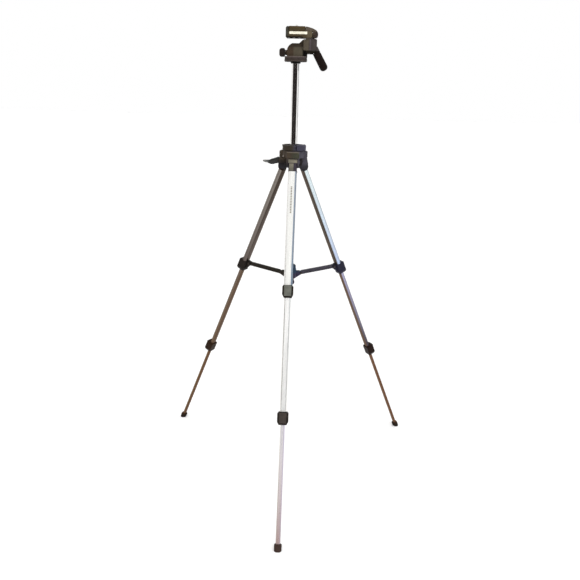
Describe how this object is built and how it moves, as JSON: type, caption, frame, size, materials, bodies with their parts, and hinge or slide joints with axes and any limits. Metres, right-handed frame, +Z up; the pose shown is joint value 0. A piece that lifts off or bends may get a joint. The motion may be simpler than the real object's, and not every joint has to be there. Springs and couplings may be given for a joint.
{
  "type": "camera tripod",
  "caption": "Folding camera tripod with telescopic flip-lock legs, mid-level brace, sliding centre column and a pan-and-tilt head with handle and quick-release plate.",
  "frame": {"origin": "on the floor, at the centre of the box around the tripod", "axes": "+Z up the centre column, -Y along the front leg, +X towards the head's handle"},
  "size_m": [0.739, 0.642, 1.227],
  "materials": {
    "leg_upper_aluminium": "satin anodised",
    "leg_middle_aluminium": "satin anodised",
    "leg_lower_aluminium": "satin anodised",
    "clamp_plastic": "fine texture",
    "lever_plastic": "fine texture",
    "spider_plastic": "fine texture",
    "foot_rubber": "matt",
    "brace_paint": "satin black",
    "brace_plastic": "fine texture",
    "pin_steel": "blackened",
    "screw_steel": "plated",
    "bush_plastic": "plain",
    "column_chrome": "polished",
    "cap_plastic": "plain",
    "head_plastic": "fine texture",
    "knob_plastic": "fine texture",
    "grip_plastic": "ribbed, matt",
    "platform_plastic": "fine texture",
    "pad_rubber": "ribbed, matt"
  },
  "bodies": {
    "spider": {"spider": "spider_plastic", "column_collar": "spider_plastic", "column_bush": "bush_plastic", "leg_hinge_pins": "pin_steel", "column_lever_pin": "pin_steel", "column_brake": "bush_plastic"},
    "column": {"column_tube": "column_chrome", "column_end_cap": "cap_plastic", "pan_base": "head_plastic", "pan_bolt": "screw_steel"},
    "column_lever": {"column_lever": "spider_plastic"},
    "pan": {"pan_body": "head_plastic"},
    "pan_knob": {"pan_knob": "knob_plastic", "pan_knob_screw": "screw_steel"},
    "tilt": {"tilt_block": "head_plastic", "tilt_pin": "pin_steel", "platform": "platform_plastic", "platform_screws": "screw_steel", "plate_lever_pin": "pin_steel"},
    "handle": {"handle_rod": "screw_steel", "handle_grip": "grip_plastic"},
    "plate_lever": {"plate_lever": "platform_plastic"},
    "plate": {"release_plate": "platform_plastic", "plate_pad": "pad_rubber"},
    "camera_screw": {"camera_screw": "screw_steel"},
    "hub": {"brace_hub": "brace_plastic", "hub_pins": "pin_steel"},
    "front_leg": {"front_leg_hinge_block": "spider_plastic", "front_leg_upper_tube": "leg_upper_aluminium", "front_leg_upper_clamp": "clamp_plastic", "front_leg_brace_pin": "pin_steel"},
    "front_leg_upper_lever": {"front_leg_upper_lever": "lever_plastic"},
    "front_leg_middle": {"front_leg_middle_tube": "leg_middle_aluminium", "front_leg_lower_clamp": "clamp_plastic"},
    "front_leg_lower_lever": {"front_leg_lower_lever": "lever_plastic"},
    "front_leg_lower": {"front_leg_lower_tube": "leg_lower_aluminium", "front_leg_foot": "foot_rubber"},
    "front_leg_brace": {"front_leg_brace_arm": "brace_paint"},
    "left_leg": {"left_leg_hinge_block": "spider_plastic", "left_leg_upper_tube": "leg_upper_aluminium", "left_leg_upper_clamp": "clamp_plastic", "left_leg_brace_pin": "pin_steel"},
    "left_leg_upper_lever": {"left_leg_upper_lever": "lever_plastic"},
    "left_leg_middle": {"left_leg_middle_tube": "leg_middle_aluminium", "left_leg_lower_clamp": "clamp_plastic"},
    "left_leg_lower_lever": {"left_leg_lower_lever": "lever_plastic"},
    "left_leg_lower": {"left_leg_lower_tube": "leg_lower_aluminium", "left_leg_foot": "foot_rubber"},
    "left_leg_brace": {"left_leg_brace_arm": "brace_paint"},
    "right_leg": {"right_leg_hinge_block": "spider_plastic", "right_leg_upper_tube": "leg_upper_aluminium", "right_leg_upper_clamp": "clamp_plastic", "right_leg_brace_pin": "pin_steel"},
    "right_leg_upper_lever": {"right_leg_upper_lever": "lever_plastic"},
    "right_leg_middle": {"right_leg_middle_tube": "leg_middle_aluminium", "right_leg_lower_clamp": "clamp_plastic"},
    "right_leg_lower_lever": {"right_leg_lower_lever": "lever_plastic"},
    "right_leg_lower": {"right_leg_lower_tube": "leg_lower_aluminium", "right_leg_foot": "foot_rubber"},
    "right_leg_brace": {"right_leg_brace_arm": "brace_paint"}
  },
  "joints": [
    {"name": "front_leg_fold", "type": "hinge", "parent": "spider", "child": "front_leg", "pos_m": [0, 0.08113, 0.8944], "axis": [1, 0, 0], "range_deg": [0, 19.75]},
    {"name": "front_leg_middle_slide", "type": "slide", "parent": "front_leg", "child": "front_leg_middle", "axis": [0, -0.4029, -0.9152], "range_m": [-0.262, 0]},
    {"name": "front_leg_lower_slide", "type": "slide", "parent": "front_leg_middle", "child": "front_leg_lower", "axis": [0, -0.4029, -0.9152], "range_m": [-0.27, 0.011]},
    {"name": "front_leg_upper_lever_flip", "type": "hinge", "parent": "front_leg", "child": "front_leg_upper_lever", "pos_m": [0, -0.07013, 0.5801], "axis": [1, 0, 0], "range_deg": [0, 100]},
    {"name": "front_leg_lower_lever_flip", "type": "hinge", "parent": "front_leg_middle", "child": "front_leg_lower_lever", "pos_m": [0, -0.19825, 0.28906], "axis": [1, 0, 0], "range_deg": [0, 100]},
    {"name": "front_leg_brace_swing", "type": "hinge", "parent": "front_leg", "child": "front_leg_brace", "pos_m": [0, -0.0351, 0.59068], "axis": [-1, 0, 0], "range_deg": [0, 107.02]},
    {"name": "left_leg_fold", "type": "hinge", "parent": "spider", "child": "left_leg", "pos_m": [-0.01992, 0.11563, 0.8944], "axis": [-0.5, -0.866, 0], "range_deg": [0, 19.76]},
    {"name": "left_leg_middle_slide", "type": "slide", "parent": "left_leg", "child": "left_leg_middle", "axis": [-0.3489, 0.2015, -0.9152], "range_m": [-0.262, 0]},
    {"name": "left_leg_lower_slide", "type": "slide", "parent": "left_leg_middle", "child": "left_leg_lower", "axis": [-0.3489, 0.2015, -0.9152], "range_m": [-0.27, 0.011]},
    {"name": "left_leg_upper_lever_flip", "type": "hinge", "parent": "left_leg", "child": "left_leg_upper_lever", "pos_m": [-0.15091, 0.19125, 0.5801], "axis": [-0.5, -0.866, 0], "range_deg": [0, 100]},
    {"name": "left_leg_lower_lever_flip", "type": "hinge", "parent": "left_leg_middle", "child": "left_leg_lower_lever", "pos_m": [-0.26187, 0.25531, 0.28906], "axis": [-0.5, -0.866, 0], "range_deg": [0, 100]},
    {"name": "left_leg_brace_swing", "type": "hinge", "parent": "left_leg", "child": "left_leg_brace", "pos_m": [-0.12057, 0.17374, 0.59068], "axis": [0.5, 0.866, 0], "range_deg": [0, 107.02]},
    {"name": "right_leg_fold", "type": "hinge", "parent": "spider", "child": "right_leg", "pos_m": [0.01992, 0.11563, 0.8944], "axis": [-0.5, 0.866, 0], "range_deg": [0, 19.76]},
    {"name": "right_leg_middle_slide", "type": "slide", "parent": "right_leg", "child": "right_leg_middle", "axis": [0.3489, 0.2015, -0.9152], "range_m": [-0.251, 0.011]},
    {"name": "right_leg_lower_slide", "type": "slide", "parent": "right_leg_middle", "child": "right_leg_lower", "axis": [0.3489, 0.2015, -0.9152], "range_m": [-0.281, 0]},
    {"name": "right_leg_upper_lever_flip", "type": "hinge", "parent": "right_leg", "child": "right_leg_upper_lever", "pos_m": [0.15091, 0.19125, 0.5801], "axis": [-0.5, 0.866, 0], "range_deg": [0, 100]},
    {"name": "right_leg_lower_lever_flip", "type": "hinge", "parent": "right_leg_middle", "child": "right_leg_lower_lever", "pos_m": [0.25803, 0.2531, 0.29912], "axis": [-0.5, 0.866, 0], "range_deg": [0, 100]},
    {"name": "right_leg_brace_swing", "type": "hinge", "parent": "right_leg", "child": "right_leg_brace", "pos_m": [0.12057, 0.17374, 0.59068], "axis": [0.5, -0.866, 0], "range_deg": [0, 107.02]},
    {"name": "hub_slide", "type": "slide", "parent": "spider", "child": "hub", "axis": [0, 0, 1], "range_m": [-0.1254, 0]},
    {"name": "column_slide", "type": "slide", "parent": "spider", "child": "column", "axis": [0, 0, 1], "range_m": [-0.19, 0]},
    {"name": "column_lever_turn", "type": "hinge", "parent": "spider", "child": "column_lever", "pos_m": [-0.03444, 0.08807, 0.898], "axis": [0.4226, -0.9063, 0], "range_deg": [0, 70]},
    {"name": "pan_turn", "type": "hinge", "parent": "column", "child": "pan", "pos_m": [0, 0.10412, 1.1476], "axis": [0, 0, 1], "continuous": true},
    {"name": "pan_knob_turn", "type": "hinge", "parent": "pan", "child": "pan_knob", "pos_m": [-0.033, 0.10412, 1.1618], "axis": [-1, 0, 0], "continuous": true},
    {"name": "tilt_swing", "type": "hinge", "parent": "pan", "child": "tilt", "pos_m": [0.031, 0.10412, 1.173], "axis": [0, 1, 0], "range_deg": [-15, 25]},
    {"name": "handle_twist", "type": "hinge", "parent": "tilt", "child": "handle", "pos_m": [0.0523, 0.10412, 1.15998], "axis": [0.5, 0, -0.866], "continuous": true},
    {"name": "plate_lever_lift", "type": "hinge", "parent": "tilt", "child": "plate_lever", "pos_m": [0.0435, 0.10412, 1.2008], "axis": [0, 1, 0], "range_deg": [0, 18], "stiffness_Nm_per_rad": 0.3, "springref_deg": -8.59},
    {"name": "plate_lift", "type": "slide", "parent": "tilt", "child": "plate", "axis": [0, 0, 1], "range_m": [0, 0.02]},
    {"name": "camera_screw_turn", "type": "hinge", "parent": "plate", "child": "camera_screw", "pos_m": [0, 0.10412, 1.222], "axis": [0, 0, 1], "continuous": true}
  ],
  "couplings": [
    {"joint": "front_leg_brace_swing", "follows": "front_leg_fold", "ratio": 5.4058},
    {"joint": "left_leg_brace_swing", "follows": "front_leg_fold", "ratio": 5.4058},
    {"joint": "left_leg_fold", "follows": "front_leg_fold", "ratio": 1},
    {"joint": "right_leg_brace_swing", "follows": "front_leg_fold", "ratio": 5.4058},
    {"joint": "right_leg_fold", "follows": "front_leg_fold", "ratio": 1},
    {"joint": "hub_slide", "follows": "front_leg_fold", "m_per_rad": -0.36208}
  ]
}
